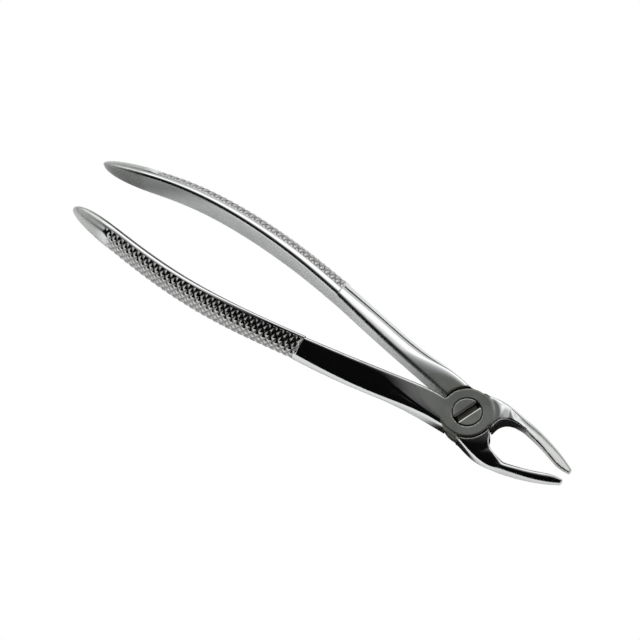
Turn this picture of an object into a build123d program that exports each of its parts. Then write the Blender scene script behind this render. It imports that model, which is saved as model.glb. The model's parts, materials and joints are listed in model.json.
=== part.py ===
from build123d import *
from math import cos, pi, sin
import os

# Extraction forceps, 179 mm long, in millimetres. The model is drawn about the pivot: +X runs
# to the beaks, +Z to the slotted screw head, and the lap plane is z = 0. Each half crosses the
# pivot, so its handle and its beak lie on opposite sides. The front half carries the screw
# head, with its handle on the -Y side; the rear half's handle is on the +Y side.
# At the end the model is moved to stand on z = 0 with its box centred on the origin.
FRONT = -1
REAR = 1

# Joint
BOSS_R = 7.8            # round boss of each half about the pivot
SHOULDER_R = 8.1        # hollow shoulders round the other half's boss
JOINT_HALF = 4.0        # half of the joint's full thickness
LAP_GAP = 0.04          # running gap between the two lapped faces
RIM_FILLET = 0.6
BOW = (5.1, 5.95)       # half axes of the oval opening behind the beaks
BOW_X = 14.6

# Screw
SCREW_R = 2.5
SCREW_END_RECESS = 0.15
BORE_CLEARANCE = 0.05
HEAD_R = 4.4
HEAD_RIM = 0.9          # straight rim above the cone
HEAD_CONE = 1.6
HEAD_PROUD = 0.15
HEAD_CLEARANCE = 0.13   # gap all round the head
SLOT_WIDTH = 1.7
SLOT_DEPTH = 1.1
SLOT_TURN = 69          # degrees from +X

# Handles, from the joint to the end. Each row: x, the line between the two handles, the gap
# from it to the flat inner face, thickness, half width and fullness of the convex face.
SHANK = (
    (-3.0, 1.2, 0.45, 6.6, 3.95, 5.0),
    (-9.0, 1.2, 0.55, 7.5, 3.90, 4.5),
    (-20.0, 1.3, 1.85, 7.2, 3.90, 3.4),
    (-36.0, 1.3, 4.70, 6.9, 4.40, 2.6),
    (-55.5, 1.6, 8.55, 6.4, 5.40, 2.2),
)
SHANK_END = SHANK[-1][0]
FRONT_EXTRA = 1.1       # the front shank is this much thicker halfway along
GRIP = (
    (-54.0, 1.7, 8.20, 6.60, 5.70, 2.2),
    (-69.0, 1.8, 10.50, 6.30, 6.20, 2.0),
    (-84.0, 1.8, 11.95, 6.10, 6.50, 2.0),
    (-99.0, 1.8, 12.30, 5.90, 6.50, 2.0),
    (-114.0, 1.6, 11.35, 5.70, 6.20, 2.0),
    (-129.0, 0.8, 9.10, 5.40, 5.40, 2.0),
    (-145.0, -0.8, 6.00, 4.80, 3.90, 2.0),
)
HANDLE_EDGE = 0.9       # radius beside the flat inner face
END_X = {FRONT: -142.3, REAR: -144.1}   # rounded ends of the handles
END_DOME = (12.0, 5.8, 6.2)
END_MID = -0.1
END_OFFSET = 9.3        # middle of the dome from the line between the handles

# Beaks, from the joint to the tip. Each row: x, the line between the two beaks, the gap from it
# to the inner face, outer reach, half height, hollow of the inner face and fullness outside.
BEAK = (
    (2.0, 0.0, 0.45, 8.45, 3.95, 0.0, 5.0),
    (8.0, -0.3, 0.45, 9.80, 3.90, 0.0, 4.0),
    (14.0, -0.6, 4.60, 9.75, 3.60, 0.2, 2.8),
    (20.0, -0.45, 4.50, 8.60, 3.10, 0.6, 2.2),
    (26.0, -0.3, 2.75, 6.85, 2.60, 0.7, 2.0),
    (31.0, -0.1, 1.20, 4.85, 2.10, 0.5, 2.0),
    (35.0, 0.1, 1.50, 2.60, 1.20, 0.2, 2.0),
)
BEAK_EDGE = 0.35        # radius beside the hollow inner face

CROWN_POINTS = 9        # points that draw one convex crown


def section(x, mid, side, inner, outer, high, hollow, fullness, edge):
    """One cross-section: flat or hollow inside, rounded corners and a convex crown outside."""
    reach = outer - inner - edge
    corner = edge * (1 - cos(pi / 4))
    flat = high - edge
    if hollow:
        inside = ThreePointArc((inner, -flat), (inner + hollow, 0), (inner, flat))
    else:
        inside = Line((inner, -flat), (inner, flat))
    crown = []
    for i in range(CROWN_POINTS):
        turn = pi / 2 - pi * i / (CROWN_POINTS - 1)
        across = round(cos(turn), 9) ** (2 / fullness)
        up = abs(sin(turn)) ** (2 / fullness)
        crown.append((inner + edge + reach * across, high * up * (1 if turn >= 0 else -1)))
    outline = [
        inside,
        ThreePointArc((inner, flat), (inner + corner, high - corner), (inner + edge, high)),
        Spline(*crown, tangents=[(1, 0), (-1, 0)]),
        ThreePointArc((inner + edge, -high), (inner + corner, corner - high), (inner, -flat)),
    ]
    plane = Plane(origin=(x, mid, 0), x_dir=(0, side, 0), z_dir=(side, 0, 0))
    return plane * make_face(outline)


def handle(side, stations, extra=0.0):
    """A length of handle, with its flat face toward the other handle."""
    faces = []
    for x, mid, gap, thick, high, fullness in stations:
        outer = gap + thick + extra * sin(pi * x / SHANK_END)
        faces.append(section(x, mid, side, gap, outer, high, 0, fullness, HANDLE_EDGE))
    return loft(faces)


def grip(side):
    """The gripped length of a handle, with its end rounded by a dome."""
    end = END_X[side]
    dome_x = end + END_DOME[0]
    dome = Pos(dome_x, END_MID + side * END_OFFSET, 0) * scale(Sphere(1), by=END_DOME)
    rest = Pos(dome_x / 2, 0, 0) * Box(-dome_x, -end, -end)
    return handle(side, GRIP) & (rest + dome)


def beak(side):
    """A beak that curves in to its tip, hollow on its inner face."""
    faces = []
    for x, mid, inner, outer, high, hollow, fullness in BEAK:
        faces.append(section(x, mid, side, inner, outer, high, hollow, fullness, BEAK_EDGE))
    return loft(faces)


def disc(radius, low, high):
    """A cylinder about the pivot between two heights."""
    return Pos(0, 0, (low + high) / 2) * Cylinder(radius, high - low)


def half(side, layer):
    """One forging. side is its handle's side, layer the side of the lap that its boss is on."""
    low, high = sorted((layer * LAP_GAP / 2, layer * JOINT_HALF))
    boss = disc(BOSS_R, low, high)
    rim = boss.edges().filter_by(GeomType.CIRCLE).group_by(Axis.Z)[-1 if layer > 0 else 0]
    shank = handle(side, SHANK, FRONT_EXTRA if side == FRONT else 0)
    limbs = shank + grip(side) + beak(-side)
    low, high = sorted((layer * LAP_GAP / 2, -layer * 2 * JOINT_HALF))
    limbs -= disc(SHOULDER_R, low, high)
    limbs -= Pos(BOW_X, 0, 0) * extrude(Ellipse(*BOW), 2 * JOINT_HALF, both=True)
    return fillet(rim, RIM_FILLET) + limbs


def screw():
    """The slotted countersunk screw that the front half turns on."""
    top = JOINT_HALF + HEAD_PROUD
    under = top - HEAD_RIM
    body = disc(SCREW_R, SCREW_END_RECESS - JOINT_HALF, top)
    body += disc(HEAD_R, under, top)
    body += Pos(0, 0, under - HEAD_CONE / 2) * Cone(SCREW_R, HEAD_R, HEAD_CONE)
    slot = Box(4 * HEAD_R, SLOT_WIDTH, 2 * SLOT_DEPTH)
    return body - Pos(0, 0, top) * Rot(0, 0, SLOT_TURN) * slot


def screw_bore():
    """The clearance round the screw through the front half."""
    top = JOINT_HALF + HEAD_PROUD
    under = top - HEAD_RIM - HEAD_CLEARANCE
    narrow = SCREW_R + BORE_CLEARANCE
    bore = disc(narrow, -JOINT_HALF, top)
    bore += disc(HEAD_R + HEAD_CLEARANCE, under, top)
    bore += Pos(0, 0, under - HEAD_CONE / 2) * Cone(narrow, HEAD_R + HEAD_CLEARANCE, HEAD_CONE)
    return bore


def main():
    parts = {
        "front_half": half(FRONT, 1) - screw_bore(),
        "rear_half": half(REAR, -1) - disc(SCREW_R, -2 * JOINT_HALF, JOINT_HALF),
        "joint_screw": screw(),
    }
    box = Compound(children=[Part(shape.wrapped) for shape in parts.values()]).bounding_box()
    ground = Pos(-(box.min.X + box.max.X) / 2, -(box.min.Y + box.max.Y) / 2, -box.min.Z)
    print("pivot at", ground.position)
    os.makedirs("parts", exist_ok=True)
    for name, shape in parts.items():
        export_step(ground * shape, f"parts/{name}.step")


main()
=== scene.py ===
"""Extraction forceps: the two polished halves, their screw, a white studio and a camera."""
import json
import math

import bpy
import numpy as np
from mathutils import Matrix, Vector


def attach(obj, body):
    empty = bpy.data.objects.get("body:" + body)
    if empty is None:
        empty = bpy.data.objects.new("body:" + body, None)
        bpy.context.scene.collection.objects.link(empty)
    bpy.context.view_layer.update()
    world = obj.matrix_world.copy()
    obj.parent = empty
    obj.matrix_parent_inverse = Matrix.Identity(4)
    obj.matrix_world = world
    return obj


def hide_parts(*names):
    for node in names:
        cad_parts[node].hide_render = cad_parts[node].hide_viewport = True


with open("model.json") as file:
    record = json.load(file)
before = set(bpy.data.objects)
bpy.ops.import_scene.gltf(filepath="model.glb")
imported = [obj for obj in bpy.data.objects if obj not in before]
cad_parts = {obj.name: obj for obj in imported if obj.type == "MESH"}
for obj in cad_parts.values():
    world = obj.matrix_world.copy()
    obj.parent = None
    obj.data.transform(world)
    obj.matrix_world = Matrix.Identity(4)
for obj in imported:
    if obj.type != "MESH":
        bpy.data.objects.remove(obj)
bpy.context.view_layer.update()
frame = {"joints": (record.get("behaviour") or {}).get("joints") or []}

# Shapes are worked out in millimetres about the pivot: +X to the beaks, +Z to the screw head,
# lap plane z = 0. The main sizes start from the CAD model's. Crowns, rounded edges, the bow and
# the gaps round the screw are worked out more finely here.
MM = 0.001
PIVOT = np.array(frame["joints"][0]["pos_m"]) / MM
FRONT = -1
REAR = 1

# Joint
BOSS_R = 7.8
SHOULDER_R = 8.1
JOINT_HALF = 4.0
LAP_GAP = 0.04
BOW_X = 14.6
BOW = {FRONT: (6.0, 5.7, 2.5), REAR: (5.4, 6.2, 2.2)}   # half axes and squareness
BOW_ROUND = 0.3
BEAK_ROUND = 0.3        # the beaks' edges at their ground faces, and their tips
RIM_ROUND = 0.5         # where the ground faces meet the sides
CUT_ROUND = 0.22        # where a cut breaks a surface
ROOT_ROUND = 0.8        # fillet between the boss and the limbs
TAPER_X = -17.0         # the ground faces rise off the shanks from here
TAPER = 0.0042          # by this times the square of the distance
SHANK_CLEAR = 0.32      # slopes of the limbs' ends, which let the other half turn
BEAK_CLEAR = 0.15
CREST_R = 9.4           # the beak falls away from its own ground face beyond this radius
CREST_REACH = 3.0
CREST_FALL = 0.3
ROOT_R = 7.6            # and, gently, beyond the other half's boss
ROOT_REACH = 5.0
ROOT_FALL = 0.15

# Screw
SCREW_R = 2.5
SCREW_END_RECESS = 0.15
HEAD_R = 4.32
HEAD_RIM = 0.9
HEAD_CONE = 1.6
CONE_SCALE = 0.7        # makes the cone's field about a true distance
HEAD_PROUD = 0.15
SCREW_TOP = JOINT_HALF + HEAD_PROUD
HEAD_CLEARANCE = 0.2    # in the front half
SHAFT_PART = 0.3        # the shaft's clearance, as a part of the head's
HEAD_ROUND = 0.05
SLOT_WIDTH = 1.7
SLOT_DEPTH = 1.1
SLOT_ROUND = 0.6
SLOT_TURN = math.radians(69)

# Limbs. Each row: x, middle line between the two halves, gap to the inner face, outer reach,
# half height, hollow of the inner face and fullness of the convex crown outside it.
SHANK = (
    (4.0, 0.0, 0.45, 7.00, 5.00, 0.0, 6.0),
    (-3.0, 0.2, 0.45, 7.40, 4.90, 0.0, 5.6),
    (-9.0, 0.9, 0.55, 8.05, 4.75, 0.0, 4.6),
    (-20.0, 1.3, 1.85, 9.05, 4.24, 0.0, 2.6),
    (-36.0, 1.3, 4.70, 11.60, 4.45, 0.0, 2.1),
    (-56.0, 1.6, 8.60, 15.00, 5.42, 0.0, 2.0),
)
SHANK_END = -55.0       # inside the gripped length, which the shanks run into
FRONT_EXTRA = 1.1       # more outer reach halfway along the front shank

# Gripped length. Each row: x, middle line, gap to the inner flat, outer reach, half height, and
# how far behind the flat the front half's crown has its apex; below zero it is outside the flat.
GRIP = (
    (-54.0, 1.7, 8.20, 14.85, 5.70, 1.0),
    (-69.0, 1.8, 10.50, 16.80, 6.20, -0.6),
    (-84.0, 1.8, 11.95, 18.05, 6.50, -1.6),
    (-99.0, 1.8, 12.30, 18.20, 6.50, -2.0),
    (-114.0, 1.6, 11.35, 17.05, 6.35, -2.0),
    (-129.0, 0.8, 9.10, 14.50, 6.10, -1.8),
    (-145.0, -0.8, 6.00, 10.80, 5.20, -1.2),
)
GRIP_EDGE = 1.0
REAR_BACK = 1.2         # how far behind in the rear half, all along it
COLLAR = 0.25           # smooth length before the first diamond
HANDLE_EDGE = 1.2       # rounding beside the shanks' inner faces
HANDLE_BACK = 1.5       # the shanks' crown has its apex this far behind the inner face
END_X = {FRONT: -142.3, REAR: -144.1}
END_LENGTH = 20.0       # the ends narrow over this length
END_SHIFT = {FRONT: -0.1, REAR: 0.9}   # sideways, at the tip
END_POWER = (3.5, 2.4)  # how late the ends narrow, sideways and in height

# Beaks, with rows like those of the shanks
BEAK = (
    (-4.0, 0.0, 0.45, 7.20, 5.00, 0.0, 4.6),
    (2.0, 0.0, 0.45, 8.45, 5.00, 0.0, 5.5),
    (8.0, -0.3, 0.45, 9.80, 4.25, 0.0, 4.6),
    (14.0, -0.6, 4.60, 9.75, 3.05, 0.2, 2.1),
    (20.0, -0.45, 4.50, 8.60, 2.70, 0.6, 1.9),
    (26.0, -0.3, 2.75, 6.85, 2.35, 0.7, 1.9),
    (31.0, -0.1, 1.20, 4.85, 1.90, 0.5, 1.9),
    (35.0, 0.1, 1.10, 2.80, 1.25, 0.2, 1.9),
)
BEAK_EDGE = (1.0, 0.35)   # beside the hollow inner face, at its root and at its tip
BEAK_BACK_X = (8.0, 17.0, 29.0, 35.0)
BEAK_BACK = {FRONT: (2.5, 1.2, 1.2, 1.0), REAR: (2.5, -1.8, -1.6, -0.7)}   # apex behind the face
INNER_FALL = 2.3        # half width of the crown on the inner side of its apex
BEAK_END = {FRONT: 34.95, REAR: 34.5}
BEAK_LEAN = 0.12        # slope of the beaks' inner faces
LEAN_LENGTH = 6.0       # the slope grows from nothing over this length

# Chequering
CHEQUER_START = -54.6
CHEQUER_PITCH = 2.2     # along the handle
CHEQUER_COUNT = 33      # diamonds along the handle
CHEQUER_ROWS = 5        # diamonds across the crown
CHEQUER_STEPS = 10      # mesh steps to one diamond
CHEQUER_DEPTH = 0.37
CHEQUER_SUNK = 0.06     # the diamonds' tops below the smooth border
CHEQUER_GROOVE = 0.5    # half width of a groove, as a part of the pitch
CHEQUER_FADE = 3.0      # the far end of the pattern fades over this length
CHEQUER_END = CHEQUER_START - CHEQUER_COUNT * CHEQUER_PITCH
BORDER_X = (-110.0, -54.0)
BORDER = {FRONT: (1.5, 0.3), REAR: (1.9, 1.9)}   # smooth strip beside the flat, far and near end

# Finish. Marks run from 0 to 1: satin from mirror polish, and dirt_and_shade from clean to dark: dirt
# with painted shade in the chequering's grooves, and painted shade in the bore, in the screw's slot and
# round its rim, and on and round the boss.
GROUND_R = 9.5          # the satin of a ground face ends here, towards the beaks
GROUND_DEPTH = 0.03     # most depth of a ground face's points below its level
GROUND_UP = 0.95        # least upward part of the normal on a ground face
RIM_DEPTH = 1.0         # the boss's satin reaches down its wall to this height
FLAT_SATIN = 0.4        # the handles' inner flats
FLAT_X = (-36.0, -8.0)  # the satin is wide between these, and narrow beyond the first
FLAT_REACH = (0.1, 1.1)
FLAT_END = 5.0          # it stops this far before the handle's end
BEAK_SATIN = {FRONT: 0.5, REAR: 0.25}
BEAK_SATIN_X = 10.0     # the beaks' satin starts here
BEAK_SATIN_LENGTH = 8.0   # and is full after this length
WORN_SATIN = 0.8        # the handles' ends, from just before the end of the chequering
WORN_START = 1.0
WORN_LENGTH = 4.0
# Painted shade round the joint: its strength on the boss's wall and foot, and how far it reaches there
# and in the bore
JOINT_SHADE = 0.8
WALL_REACH = 0.6        # painted shade, for dark reflections, on the boss's wall, and round its foot on the other half
WALL_UP = 0.97          # most upward part of the normal on the wall
FOOT_REACH = 0.65
BORE_REACH = 0.12
GROOVE_CLEAN = 0.25     # part of a groove's depth that stays clean, without dirt and painted shade
MARK_REACH = 0.05       # marks on the screw reach this far past its slot and below its top
RIM_REACH = 0.04

# Mesh density
VOXEL = 0.29
SCREW_VOXEL = 0.16
PULLS = 4               # steps that bring the points onto the surface
LEAST_SLOPE = 0.04      # least squared slope, which keeps those steps short
FLAT_POINTS = 13
EDGE_POINTS = 5
BORDER_POINTS = 8
ARC_POINTS = 241        # for measuring along the crown
END_RINGS = 56          # from the chequering to the handle's end


# ---------------------------------------------------------------- shapes as signed fields
def through(rows, x):
    """Natural cubic curves through the rows' values; rows start with x."""
    rows = np.array(sorted(rows))
    knots, values = rows[:, 0], rows[:, 1:]
    step = np.diff(knots)
    slope = np.diff(values, axis=0) / step[:, None]
    grid = np.diag(2 * (step[:-1] + step[1:]))
    grid += np.diag(step[1:-1], 1) + np.diag(step[1:-1], -1)
    bend = np.zeros_like(values)
    bend[1:-1] = np.linalg.solve(grid, 6 * np.diff(slope, axis=0))
    x = np.clip(x, knots[0], knots[-1])
    i = np.clip(np.searchsorted(knots, x) - 1, 0, len(step) - 1)
    right = ((x - knots[i]) / step[i])[..., None]
    left = 1 - right
    curve = left * values[i] + right * values[i + 1]
    curve += ((left**3 - left) * bend[i] + (right**3 - right) * bend[i + 1]) * step[i][:, None] ** 2 / 6
    return curve.T


def meet(a, b, radius):
    """Inside both fields, with their common edge rounded."""
    corner = np.hypot(np.maximum(a + radius, 0), np.maximum(b + radius, 0))
    return np.minimum(np.maximum(a, b), -radius) + corner


def join(a, b, radius):
    """Inside either field, with a fillet where they meet."""
    return -meet(-a, -b, radius)


def limb(x, y, z, side, rows, edge, back, extra=0.0, lean=0.0):
    """A length of handle or beak: flat or hollow inside and a convex crown outside."""
    table, index = np.unique(x, return_inverse=True)
    mid, inner, outer, high, hollow, fullness = through(rows, table)[:, index.reshape(x.shape)]
    outer = outer + extra * np.sin(math.pi * np.clip(x / SHANK[-1][0], 0, 1))
    inner = inner + abs(lean) * high - lean * z
    u = side * (y - mid)
    reach = outer - inner + back
    away = u - inner + back
    across = np.where(away > 0, away / reach, -away / INNER_FALL)
    apex = high / (1 - (np.maximum(back, 0) / reach) ** fullness) ** (1 / fullness)
    crown = ((across**fullness + np.abs(z / apex) ** fullness) ** (1 / fullness) - 1) * apex
    inside = inner + hollow * (1 - (z / high) ** 2) - u
    return meet(crown, inside, edge)


def ground_level(x):
    """Height of the ground faces above the lap plane."""
    return JOINT_HALF + TAPER * np.maximum(TAPER_X - x, 0) ** 2


def half_field(x, y, z, side, layer):
    """One half of the forceps from its gripped length to the tip of its beak."""
    r = np.hypot(x, y)
    extra = FRONT_EXTRA if side == FRONT else 0.0
    shank = limb(x, y, z, side, SHANK, HANDLE_EDGE, HANDLE_BACK, extra=extra)
    shank = np.maximum(np.maximum(shank, x + SHANK_CLEAR * np.abs(y)), SHANK_END - x)
    lean = layer * BEAK_LEAN * np.clip((x - SHOULDER_R) / LEAN_LENGTH, 0, 1)
    edge = np.interp(x, (SHOULDER_R, BEAK_END[side]), BEAK_EDGE)
    back = np.interp(x, BEAK_BACK_X, BEAK_BACK[side])
    beak = limb(x, y, z, -side, BEAK, edge, back, lean=lean)
    own = CREST_FALL * np.clip(r - CREST_R, 0, CREST_REACH)
    other = ROOT_FALL * np.clip(r - ROOT_R, 0, ROOT_REACH)
    fall = np.where(layer * z > 0, own, other)
    beak = meet(beak, np.abs(z) - JOINT_HALF + fall, BEAK_ROUND)
    beak = meet(np.maximum(beak, BEAK_CLEAR * np.abs(y) - x), x - BEAK_END[side], BEAK_ROUND)
    boss = r - BOSS_R
    body = join(join(shank, beak, ROOT_ROUND), boss, ROOT_ROUND)
    body = meet(body, np.abs(z) - ground_level(x), RIM_ROUND)
    lap = np.minimum(SHOULDER_R - r, LAP_GAP / 2 - layer * z)
    body = meet(body, lap, CUT_ROUND)
    long, wide, square = BOW[side]
    bow = 1 - (np.abs((x - BOW_X) / long) ** square + np.abs(y / wide) ** square) ** (1 / square)
    body = meet(body, bow * long, BOW_ROUND)
    return np.maximum(body, -bore_field(r, z, layer))


def screw_profile(r, z, grow):
    """The screw as a turned solid, grown by a clearance."""
    under = SCREW_TOP - HEAD_RIM - grow
    shaft = r - SCREW_R - grow * SHAFT_PART
    cone = ((r - SCREW_R) - (z - under + HEAD_CONE) * (HEAD_R + grow - SCREW_R) / HEAD_CONE) * CONE_SCALE
    head = np.maximum(r - HEAD_R - grow, cone)
    return np.minimum(shaft, head)


def bore_field(r, z, layer):
    """The hole for the screw: countersunk in the front half, straight in the rear one."""
    if layer < 0:
        return r - SCREW_R
    return screw_profile(r, z, HEAD_CLEARANCE)


def from_slot(x, y):
    """Distance from the middle line of the slot."""
    return np.abs(y * math.cos(SLOT_TURN) - x * math.sin(SLOT_TURN))


def screw_field(x, y, z):
    """The countersunk screw, with rounded edges and a slot."""
    body = screw_profile(np.hypot(x, y), z, 0.0)
    body = meet(body, z - SCREW_TOP, HEAD_ROUND)
    body = meet(body, SCREW_END_RECESS - JOINT_HALF - z, HEAD_ROUND)
    slot = np.maximum(from_slot(x, y) - SLOT_WIDTH / 2, SCREW_TOP - SLOT_DEPTH - z)
    return meet(body, -slot, SLOT_ROUND)


# ---------------------------------------------------------------- meshes from fields
def nets(field, low, high, step):
    """Quads round the field's zero surface, one point to a cell, pulled onto the surface."""
    axes = [np.arange(a, b + step, step) for a, b in zip(low, high)]
    x, y, z = np.meshgrid(*axes, indexing="ij")
    value = field(x.ravel(), y.ravel(), z.ravel()).reshape(x.shape)
    inside = value < 0
    shape = tuple(n - 1 for n in value.shape)
    total = np.zeros(shape + (3,))
    count = np.zeros(shape)
    corners = [(i, j, k) for i in (0, 1) for j in (0, 1) for k in (0, 1)]

    def part(grid, corner):
        return grid[tuple(slice(c, c + n) for c, n in zip(corner, shape))]

    for a in corners:
        for axis in range(3):
            if a[axis]:
                continue
            b = tuple(c + (i == axis) for i, c in enumerate(a))
            va, vb = part(value, a), part(value, b)
            crossed = part(inside, a) != part(inside, b)
            where = np.where(crossed, va / np.where(crossed, va - vb, 1), 0)
            for i in range(3):
                total[..., i] += np.where(crossed, a[i] + (where if i == axis else 0), 0)
            count += crossed
    used = count > 0
    number = np.full(shape, -1)
    number[used] = np.arange(used.sum())
    points = np.argwhere(used) + total[used] / count[used][:, None]
    points = points * step + np.array([axis[0] for axis in axes])
    quads = []
    for axis in range(3):
        first = tuple(slice(0, -1) if i == axis else slice(1, -1) for i in range(3))
        second = tuple(slice(1, None) if i == axis else slice(1, -1) for i in range(3))
        start, end = inside[first], inside[second]
        edge = np.argwhere(start != end) + [0 if i == axis else 1 for i in range(3)]
        leaves = start[start != end]
        one, two = [np.eye(3, dtype=int)[(axis + i) % 3] for i in (1, 2)]
        ring = [edge, edge - one, edge - one - two, edge - two]
        ring = np.stack([number[tuple(cell.T)] for cell in ring], axis=1)
        quads.append(np.where(leaves[:, None], ring, ring[:, ::-1]))
    for _ in range(PULLS):
        points = pulled(field, points, step / 2)
    return points, np.concatenate(quads)


def gradient(field, points, reach=0.01):
    """The field's slope at each point."""
    slopes = []
    for axis in np.eye(3) * reach:
        slopes.append((field(*(points + axis).T) - field(*(points - axis).T)) / (2 * reach))
    return np.stack(slopes, axis=1)


def pulled(field, points, most):
    """The points one step nearer to the field's zero surface."""
    slope = gradient(field, points)
    move = field(*points.T) / np.maximum((slope**2).sum(axis=1), LEAST_SLOPE)
    move = np.clip(move, -most, most)
    return points - move[:, None] * slope


# ---------------------------------------------------------------- gripped length
def loop_steps():
    """Positions along one section's flat, rounded edge, smooth border and chequered crown."""
    flat = np.linspace(-1, 1, FLAT_POINTS + 2)[1:-1]
    edge = np.linspace(0, 1, EDGE_POINTS)
    border = np.linspace(0, 1, BORDER_POINTS)[:-1]
    rows = np.linspace(0, 1, CHEQUER_ROWS * CHEQUER_STEPS + 1)
    return flat, edge, border, rows


def grip_section(side, x):
    """Points round one section in (y, z), and the pattern's place across for each of them."""
    mid, inner, outer, high, back = through(GRIP, np.array([x]))[:, 0]
    flat, edge, border, rows = loop_steps()
    if side == REAR:
        back = REAR_BACK
    reach = outer - inner + back
    apex = high / math.sqrt(1 - (max(back, 0) / reach) ** 2)
    lean = math.acos((back + GRIP_EDGE) / reach)
    turn = np.linspace(lean, -lean, ARC_POINTS)
    fine_u = inner - back + reach * np.cos(turn)
    fine_v = apex * np.sin(turn)
    arc = np.append(0, np.cumsum(np.hypot(np.diff(fine_u), np.diff(fine_v))))
    whole = arc[-1]
    strip = np.interp(x, BORDER_X, BORDER[side])
    places = np.concatenate([border * strip, strip + rows * (whole - 2 * strip),
                             whole - border[::-1] * strip])
    across = np.concatenate([border * 0 - 1, rows * CHEQUER_ROWS, border * 0 - 1])
    crown_u, crown_v = np.interp(places, arc, fine_u), np.interp(places, arc, fine_v)
    slope = math.atan2(apex * math.cos(lean), reach * math.sin(lean))
    bend = edge[:-1] * (math.pi / 2 + slope)
    radius = GRIP_EDGE / (1 + math.sin(slope))
    flank = fine_v[0] - radius * math.cos(slope)
    top_u = inner + radius * (1 - np.cos(bend))
    top_v = flank + radius * np.sin(bend)
    u = np.concatenate([inner + 0 * flat, top_u, crown_u, top_u[::-1]])
    v = np.concatenate([flat * flank, top_v, crown_v, -top_v[::-1]])
    corner = np.full(len(bend), -1.0)
    place = np.concatenate([np.full(len(flat), -1.0), corner, across, corner])
    return mid + side * u, v, place


def section_middle(side, x):
    """Sideways place of the middle of one gripped section."""
    mid, inner, outer = through(GRIP, np.array([x]))[:3, 0]
    return mid + side * (inner + outer) / 2


def outward(ring):
    """Unit normals round one section."""
    normal = np.roll(ring, -1, axis=0) - np.roll(ring, 1, axis=0)
    normal = np.stack([normal[:, 1], -normal[:, 0]], axis=1)
    normal *= np.sign((normal * (ring - ring.mean(axis=0))).sum())
    return normal / np.linalg.norm(normal, axis=1)[:, None]


def chequer_depth(row, across, left):
    """How deep the chequering is cut round one section; left is the distance to its far end."""
    lines = [row + across, row - across]
    away = [np.abs(line - np.round(line)) / CHEQUER_GROOVE for line in lines]
    raised = np.minimum(np.minimum(*away), 1)
    fade = np.clip(left / CHEQUER_FADE, 0, 1)
    sunk = fade * (CHEQUER_SUNK + (1 - raised) * CHEQUER_DEPTH)
    return np.where(across >= 0, sunk, 0)


def narrowed(ring, side, x):
    """One section scaled and moved towards the handle's rounded end."""
    part = (END_X[side] + END_LENGTH - x) / END_LENGTH
    middle = section_middle(side, x)
    ring = (ring - [middle, 0]) * [math.sqrt(1 - part**power) for power in END_POWER]
    return ring + [middle + part**2 * END_SHIFT[side], 0]


def grip_mesh(side):
    """The handle from the step at its chequering to its rounded end."""
    steps = CHEQUER_COUNT * CHEQUER_STEPS
    step = CHEQUER_PITCH / CHEQUER_STEPS
    end = END_X[side]
    chequered = CHEQUER_START - step * np.arange(steps + 1)
    plain = np.sin(np.linspace(0, math.pi / 2, END_RINGS)[1:-1])
    plain = chequered[-1] + (end - chequered[-1]) * plain
    xs = np.concatenate([[GRIP[0][0], GRIP[0][0] - COLLAR], chequered, plain])
    along = np.concatenate([[-1, -1], np.arange(steps + 1), -np.ones(len(plain))])
    rings = []
    marks = []
    for x, row in zip(xs, along):
        y, z, across = grip_section(side, x)
        ring = np.stack([y, z], axis=1)
        sunk = np.zeros(len(ring))
        if row >= 0:
            sunk = chequer_depth(row / CHEQUER_STEPS, across, x - chequered[-1])
            ring -= outward(ring) * sunk[:, None]
        flat = (np.arange(len(ring)) < FLAT_POINTS) * float(x > end + FLAT_END)
        worn = np.clip((CHEQUER_END + WORN_START - x) / WORN_LENGTH, 0, 1)
        satin = np.maximum(FLAT_SATIN * flat, WORN_SATIN * worn)
        # Dirt and painted shade, deeper in the chequering's grooves
        dirt_and_shade = np.clip(sunk / CHEQUER_DEPTH - GROOVE_CLEAN, 0, 1)
        marks.append(np.stack([satin, dirt_and_shade], axis=1))
        if x < end + END_LENGTH:
            ring = narrowed(ring, side, x)
        rings.append(np.column_stack([np.full(len(ring), x), ring]))
    tip = np.array([end, section_middle(side, end) + END_SHIFT[side], 0])
    return rings, marks, along, across, tip


def grip_faces(rings, along, across):
    """Triangles between the rings, split along the pattern's grooves."""
    count = len(rings[0])
    column = np.where(across >= 0, np.round(across * CHEQUER_STEPS), 0).astype(int)
    faces = []
    for i in range(len(rings) - 1):
        row = int(max(along[i], 0))
        for j in range(count):
            k = (j + 1) % count
            a, b, c, d = i * count + j, i * count + k, (i + 1) * count + k, (i + 1) * count + j
            if (row - column[j]) % CHEQUER_STEPS in (0, CHEQUER_STEPS // 2):
                faces += [(a, b, c), (a, c, d)]
            else:
                faces += [(a, b, d), (b, c, d)]
    return faces


def grip_solid(side):
    """Points and triangles of one gripped length, closed at both ends."""
    rings, marks, along, across, tip = grip_mesh(side)
    faces = grip_faces(rings, along, across)
    points = np.concatenate(rings + [[tip], [rings[0].mean(axis=0)]])
    count = len(rings[0])
    tip_number, root_number = len(points) - 2, len(points) - 1
    last = (len(rings) - 1) * count
    for j in range(count):
        k = (j + 1) % count
        faces.append((last + j, last + k, tip_number))
        faces.append((j, root_number, k))
    faces = np.array(faces)
    if side == FRONT:
        faces = faces[:, ::-1]
    return points, faces, np.concatenate(marks + [[[0, 0], [0, 0]]])


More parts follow.
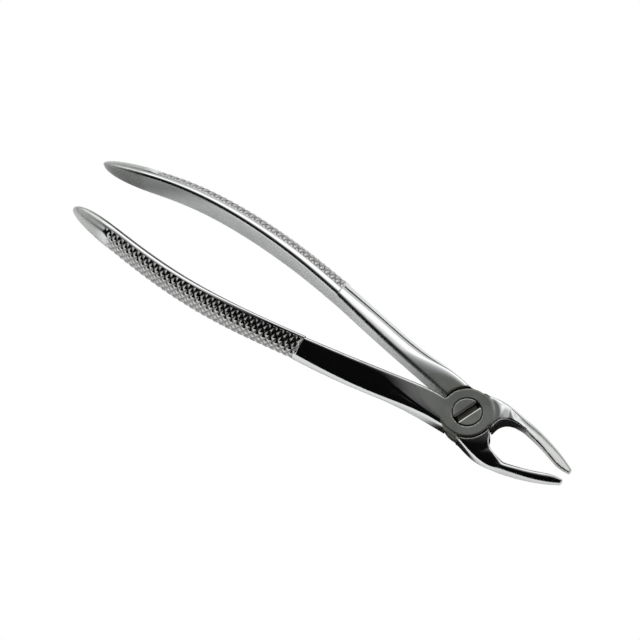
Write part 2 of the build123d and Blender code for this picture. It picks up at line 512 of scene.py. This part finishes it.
# ---------------------------------------------------------------- objects
def make_object(name, pieces, body, material, *replaced):
    """One object from meshes in pivot millimetres; the third item of each is its satin mark and its
    dirt_and_shade mark, for dirt and painted shade.
    """
    points = np.concatenate([piece[0] for piece in pieces])
    faces = []
    start = 0
    for piece_points, piece_faces, _ in pieces:
        faces += (piece_faces + start).tolist()
        start += len(piece_points)
    mesh = bpy.data.meshes.new(name)
    mesh.from_pydata(((points + PIVOT) * MM).tolist(), [], faces)
    mesh.shade_smooth()
    marks = np.concatenate([piece[2] for piece in pieces])
    for i, mark in enumerate(("satin", "dirt_and_shade")):
        mesh.attributes.new(mark, "FLOAT", "POINT").data.foreach_set("value", marks[:, i])
    obj = bpy.data.objects.new(name, mesh)
    bpy.context.collection.objects.link(obj)
    mesh.materials.append(material)
    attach(obj, body)
    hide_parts(*replaced)
    return obj


def half_marks(points, up, side, layer):
    """Where one half is satin, and where it is dark with painted shade: in the bore, and on the boss's
    wall and round its foot, for dark reflections.
    """
    x, y, z = points.T
    r = np.hypot(x, y)
    mid, inner = through(SHANK, x)[:2]
    own = layer * z > 0
    level = (np.abs(z) > ground_level(x) - GROUND_DEPTH) & (np.abs(up) > GROUND_UP)
    ground = level & (own & (r < GROUND_R) | (x < 0))
    rim = (layer * z > RIM_DEPTH) & (r < BOSS_R + RIM_ROUND)
    flat_wide = np.where(x > FLAT_X[0], FLAT_REACH[1], FLAT_REACH[0])
    flat = (side * (y - mid) - inner < flat_wide) & (x < FLAT_X[1])
    beak = BEAK_SATIN[side] * np.clip((x - BEAK_SATIN_X) / BEAK_SATIN_LENGTH, 0, 1)
    satin = np.maximum(np.maximum(ground | rim, FLAT_SATIN * flat), beak)
    # Painted shade in the bore, which also hides a bright line at its edge
    hole = HEAD_R + HEAD_CLEARANCE if layer > 0 else SCREW_R
    bore = r < hole + BORE_REACH
    # Painted shade on the boss's wall and round its foot, for dark reflections
    wall = own & (np.abs(r - BOSS_R) < WALL_REACH) & (np.abs(up) < WALL_UP)
    foot = (layer * z < 0) & (r < SHOULDER_R + FOOT_REACH)
    painted_shade = np.maximum(bore, JOINT_SHADE * (wall | foot))
    return np.stack([satin, painted_shade], axis=1)


def half_object(name, side, layer, body, material):
    """One half; its layer is 1 where it has the joint's upper half, and -1 the lower."""
    def field(x, y, z):
        return half_field(x, y, z, side, layer)

    low = (SHANK[-1][0], -18.5 if side == FRONT else -11.5, -6.2)
    high = (BEAK[-1][0] + 0.6, 11.5 if side == FRONT else 18.5, 6.2)
    points, faces = nets(field, low, high, VOXEL)
    normal = gradient(field, points)
    normal /= np.linalg.norm(normal, axis=1)[:, None]
    marks = half_marks(points, normal[:, 2], side, layer)
    obj = make_object(name + "_forging", [(points, faces, marks), grip_solid(side)], body, material, name)
    return obj


def screw_object(material):
    """The screw, with painted shade in its slot and round its rim."""
    reach = HEAD_R + 3 * SCREW_VOXEL
    points, faces = nets(screw_field, (-reach,) * 3, (reach,) * 3, SCREW_VOXEL)
    x, y, z = points.T
    # Painted shade in the slot and in the gap round the head's rim
    slot = (from_slot(x, y) < SLOT_WIDTH / 2 + MARK_REACH) & (z < SCREW_TOP - SLOT_ROUND) & (z > 0)
    rim = (np.hypot(x, y) > HEAD_R - RIM_REACH) & (z < SCREW_TOP - MARK_REACH)
    marks = np.stack([np.ones(len(points)), slot | rim], axis=1).astype(float)
    obj = make_object("slotted_screw", [(points, faces, marks)], "rear", material, "joint_screw")
    return obj


# ---------------------------------------------------------------- shader nodes
class Nodes:
    """Short calls that add and link the nodes of one tree."""

    def __init__(self, owner):
        owner.use_nodes = True
        self.tree = owner.node_tree

    def add(self, kind, **settings):
        node = self.tree.nodes.new(kind)
        for name, value in settings.items():
            setattr(node, name, value)
        return node

    def put(self, socket, value):
        if isinstance(value, bpy.types.NodeSocket):
            self.tree.links.new(value, socket)
        else:
            socket.default_value = value

    def math(self, operation, *values):
        node = self.add("ShaderNodeMath", operation=operation)
        for socket, value in zip(node.inputs, values):
            self.put(socket, value)
        return node.outputs[0]

    def ramp(self, value, low, high, start=0.0, end=1.0):
        """start below low, end above high and smooth between them."""
        node = self.add("ShaderNodeMapRange", interpolation_type="SMOOTHSTEP")
        for socket, item in zip(node.inputs, (value, low, high, start, end)):
            self.put(socket, item)
        return node.outputs[0]

    def blend(self, factor, a, b):
        node = self.add("ShaderNodeMix", data_type="RGBA")
        self.put(node.inputs[0], factor)
        self.put(node.inputs[6], a)
        self.put(node.inputs[7], b)
        return node.outputs[2]

    def noise(self, vector, scale, detail=3.0, roughness=0.5):
        node = self.add("ShaderNodeTexNoise")
        self.put(node.inputs["Vector"], vector)
        self.put(node.inputs["Scale"], scale)
        self.put(node.inputs["Detail"], detail)
        self.put(node.inputs["Roughness"], roughness)
        return node.outputs[0]

    def stretched(self, vector, scale, turn=0.0):
        node = self.add("ShaderNodeMapping")
        self.put(node.inputs["Vector"], vector)
        self.put(node.inputs["Rotation"], (0, 0, turn))
        self.put(node.inputs["Scale"], scale)
        return node.outputs[0]

    def mark(self, name):
        return self.add("ShaderNodeAttribute", attribute_name=name).outputs["Fac"]


# Steel. Noise scales are per metre, where there are three along the forceps first.
# Dark colour for dirt and painted shade: in the chequering's grooves, the bore, the screw's slot and rim,
# and round the joint
DIRT_AND_SHADE_COLOUR = (0.05, 0.04, 0.025, 1)
SHADE = (0.16, 0.17, 0.155, 1)
SHADE_MOST = 0.6        # most of the shade in the satin's clouds
CLEAN_DARK = 0.93       # brightness of the darker clouds on the polish
BRUSH_DARK = 0.86       # and of the darker brush marks on the satin
CLOUD_SCALE = 90.0
CLOUD_RANGE = (0.35, 0.7)
SMEAR_SCALE = (40.0, 260.0, 260.0)
SMEAR_RANGE = (0.4, 0.75)
SMEAR_ROUGH = 0.07
BRUSH_SCALE = (500.0, 9000.0, 9000.0)
BRUSH_TURN = 0.2
BRUSH_ROUGH = 0.14
SCRATCH_SCALE = (240.0, 5200.0, 5200.0)
SCRATCH_TURN = -0.12
SCRATCH_RANGE = (0.66, 0.74)
SCRATCH_ROUGH = 0.08
SCRATCH_HEIGHT = -0.3
DIRT_AND_SHADE_STRENGTH = 0.85
GROOVE_ROUGH = 0.25
BUMP_DEPTH = 0.000012   # metres
BUMP_STRENGTH = 0.5


def darker(colour, part):
    return [c * part for c in colour[:3]] + [1]


def steel(name, tint, satin_tint, polish, satin_rough):
    """Chromed steel: mirror polish, a satin finish where the mesh is marked, and a dark colour for dirt
    and painted shade where it is marked for that.
    """
    material = bpy.data.materials.new(name)
    n = Nodes(material)
    shader = n.tree.nodes["Principled BSDF"]
    place = n.add("ShaderNodeTexCoord").outputs["Object"]
    satin = n.mark("satin")
    dirt_and_shade = n.mark("dirt_and_shade")
    cloud = n.noise(place, CLOUD_SCALE)
    smear = n.noise(n.stretched(place, SMEAR_SCALE), 1.0, 4.0)
    brushed = n.noise(n.stretched(place, BRUSH_SCALE, BRUSH_TURN), 1.0, 2.0)
    scratch = n.noise(n.stretched(place, SCRATCH_SCALE, SCRATCH_TURN), 1.0, 1.0)
    fine = n.ramp(scratch, *SCRATCH_RANGE)

    clean = n.blend(n.ramp(cloud, *CLOUD_RANGE), tint, darker(tint, CLEAN_DARK))
    ground = n.blend(brushed, satin_tint, darker(satin_tint, BRUSH_DARK))
    ground = n.blend(n.ramp(cloud, *CLOUD_RANGE, 0.0, SHADE_MOST), ground, SHADE)
    colour = n.blend(satin, clean, ground)
    # Darkens the marked places with dirt and painted shade
    colour = n.blend(n.math("MULTIPLY", dirt_and_shade, DIRT_AND_SHADE_STRENGTH), colour, DIRT_AND_SHADE_COLOUR)
    n.put(shader.inputs["Base Color"], colour)
    shader.inputs["Metallic"].default_value = 1.0

    bright = n.math("ADD", polish, n.math("MULTIPLY", n.ramp(smear, *SMEAR_RANGE), SMEAR_ROUGH))
    bright = n.math("ADD", bright, n.math("MULTIPLY", fine, SCRATCH_ROUGH))
    dull = n.math("ADD", satin_rough, n.math("MULTIPLY", brushed, BRUSH_ROUGH))
    gap = n.math("SUBTRACT", dull, bright)
    rough = n.math("ADD", bright, n.math("MULTIPLY", gap, satin))
    rough = n.math("ADD", rough, n.math("MULTIPLY", dirt_and_shade, GROOVE_ROUGH))
    n.put(shader.inputs["Roughness"], rough)

    height = n.math("MULTIPLY", fine, SCRATCH_HEIGHT)
    height = n.math("ADD", height, n.math("MULTIPLY", brushed, satin))
    bump = n.add("ShaderNodeBump")
    bump.inputs["Distance"].default_value = BUMP_DEPTH
    bump.inputs["Strength"].default_value = BUMP_STRENGTH
    n.put(bump.inputs["Height"], height)
    n.put(shader.inputs["Normal"], bump.outputs[0])
    return material


# ---------------------------------------------------------------- studio
# Soft panels of light, in degrees: middle, half width, lowest and highest edge, softness, and
# their strength
PANELS = (
    (125, 34, 24, 44, 8, 0.9),
    (118, 38, 10, 57, 8, 0.8),
    (58, 22, 10, 60, 10, 0.62),
    (130, 50, 58, 74, 8, 0.18),
    (0, 22, 5, 50, 12, 0.25),
    (-180, 42, 4, 48, 14, 0.9),
)
ROOM_GLOW = 0.004

# Painted shadows: soft dark ovals on the floor under the joint, the bow and the handles' ends, seen only
# in the steel,
# in millimetres about the pivot: x, y, half length, half width, and their strength
PAINTED_SHADOWS = ((7, 0, 12, 8, 1.0), (0, -8, 12, 6, 1.0), (-128, 0, 30, 11, 0.6))
PATCH_EDGE = (0.6, 1.15)
SHADOW_COLOUR = (0.02, 0.02, 0.018, 1)
PAPER_COLOUR = (0.80, 0.81, 0.81, 1)
FLOOR_REACH = 1.5
FLOOR_Z = -0.0005       # just clear of the forceps


def room():
    """A dark room with soft panels of light, seen only in the steel. The camera sees white."""
    world = bpy.data.worlds.new("studio")
    bpy.context.scene.world = world
    n = Nodes(world)
    direction = n.add("ShaderNodeTexCoord").outputs["Generated"]
    parts = n.add("ShaderNodeSeparateXYZ")
    n.put(parts.inputs[0], direction)
    x, y, z = parts.outputs
    height = n.math("ARCSINE", z)
    turn = n.math("ARCTAN2", y, x)

    def panel(middle, half_width, low, high, soft, strength):
        away = n.math("WRAP", n.math("SUBTRACT", turn, math.radians(middle)), math.pi, -math.pi)
        away = n.math("ABSOLUTE", away)
        edge = math.radians(soft)
        wide = n.ramp(away, math.radians(half_width), math.radians(half_width) + edge, 1.0, 0.0)
        above = n.ramp(height, math.radians(low) - edge / 2, math.radians(low) + edge / 2)
        below = n.ramp(height, math.radians(high) - edge, math.radians(high) + edge, 1.0, 0.0)
        mask = n.math("MULTIPLY", wide, n.math("MULTIPLY", above, below))
        return n.math("MULTIPLY", mask, strength)

    light = 0.0
    for values in PANELS:
        light = n.math("ADD", light, panel(*values))
    light = n.math("ADD", light, ROOM_GLOW)
    seen = n.add("ShaderNodeLightPath").outputs["Is Camera Ray"]
    background = n.tree.nodes["Background"]
    background.inputs["Color"].default_value = (1, 1, 1, 1)
    strength = n.math("ADD", light, n.math("MULTIPLY", seen, n.math("SUBTRACT", 1.0, light)))
    n.put(background.inputs["Strength"], strength)


def floor_material():
    """White to the camera, and to the steel a lit paper with painted shadows as soft dark patches under
    the forceps.
    """
    material = bpy.data.materials.new("floor")
    n = Nodes(material)
    glow = n.add("ShaderNodeEmission")
    paper = n.add("ShaderNodeBsdfDiffuse")
    place = n.add("ShaderNodeTexCoord").outputs["Object"]

    def painted_shadow(x, y, long, wide):
        spot = n.add("ShaderNodeVectorMath", operation="SUBTRACT")
        n.put(spot.inputs[0], place)
        spot.inputs[1].default_value = ((PIVOT[0] + x) * MM, (PIVOT[1] + y) * MM, 0)
        sized = n.add("ShaderNodeVectorMath", operation="MULTIPLY")
        n.put(sized.inputs[0], spot.outputs[0])
        sized.inputs[1].default_value = (1 / (long * MM), 1 / (wide * MM), 0)
        away = n.add("ShaderNodeVectorMath", operation="LENGTH")
        n.put(away.inputs[0], sized.outputs[0])
        return n.ramp(away.outputs["Value"], *PATCH_EDGE, 1.0, 0.0)

    # Painted shadows on the paper
    dark = 0.0
    for *oval, strength in PAINTED_SHADOWS:
        dark = n.math("MAXIMUM", dark, n.math("MULTIPLY", painted_shadow(*oval), strength))
    n.put(paper.inputs["Color"], n.blend(dark, PAPER_COLOUR, SHADOW_COLOUR))
    either = n.add("ShaderNodeMixShader")
    n.put(either.inputs[0], n.add("ShaderNodeLightPath").outputs["Is Camera Ray"])
    n.put(either.inputs[1], paper.outputs[0])
    n.put(either.inputs[2], glow.outputs[0])
    n.put(n.tree.nodes["Material Output"].inputs["Surface"], either.outputs[0])
    return material


def floor():
    mesh = bpy.data.meshes.new("floor")
    corners = [(-1, -1), (1, -1), (1, 1), (-1, 1)]
    mesh.from_pydata([(x * FLOOR_REACH, y * FLOOR_REACH, 0) for x, y in corners], [], [(0, 1, 2, 3)])
    mesh.materials.append(floor_material())
    sheet = bpy.data.objects.new("floor", mesh)
    bpy.context.collection.objects.link(sheet)
    sheet.location.z = FLOOR_Z


def overhead_light():
    """A large lamp that lights the floor and the satin, and isn't itself reflected."""
    lamp = bpy.data.lights.new("overhead", "AREA")
    lamp.shape = "SQUARE"
    lamp.size = 1.2
    lamp.energy = 10.5
    overhead = bpy.data.objects.new("overhead", lamp)
    overhead.location.z = 0.8
    overhead.visible_camera = False
    overhead.visible_glossy = False
    bpy.context.collection.objects.link(overhead)


# ---------------------------------------------------------------- camera
CAMERA_TURN = (-18.32, -16.72, -31.49)        # degrees about X, Y and Z
CAMERA_OFFSET = (44.38, -27.29, -676.34)      # of the aim, in the camera's axes
CAMERA_AIM = (-0.71, 1.72, 0)                 # from the pivot, in millimetres
CAMERA_LENS = 127.39275


def camera():
    turn_x, turn_y, turn_z = (math.radians(a) for a in CAMERA_TURN)
    to_view = (Matrix.Rotation(turn_z, 3, "Z") @ Matrix.Rotation(turn_y, 3, "Y")
               @ Matrix.Rotation(turn_x, 3, "X"))
    place = Vector(PIVOT) + Vector(CAMERA_AIM) - to_view.transposed() @ Vector(CAMERA_OFFSET)
    data = bpy.data.cameras.new("camera")
    data.lens = CAMERA_LENS
    data.clip_end = 10
    obj = bpy.data.objects.new("camera", data)
    obj.matrix_world = Matrix.Translation(place * MM) @ to_view.transposed().to_4x4()
    bpy.context.collection.objects.link(obj)
    bpy.context.scene.camera = obj


chrome = steel("polished_chrome", (0.66, 0.665, 0.665, 1), (0.40, 0.415, 0.39, 1), 0.05, 0.26)
turned = steel("screw_face", (0.60, 0.60, 0.57, 1), (0.47, 0.485, 0.455, 1), 0.08, 0.24)
half_object("front_half", FRONT, 1, "front", chrome)
half_object("rear_half", REAR, -1, "rear", chrome)
screw_object(turned)
room()
floor()
overhead_light()
camera()
bpy.context.scene.view_settings.view_transform = "Standard"
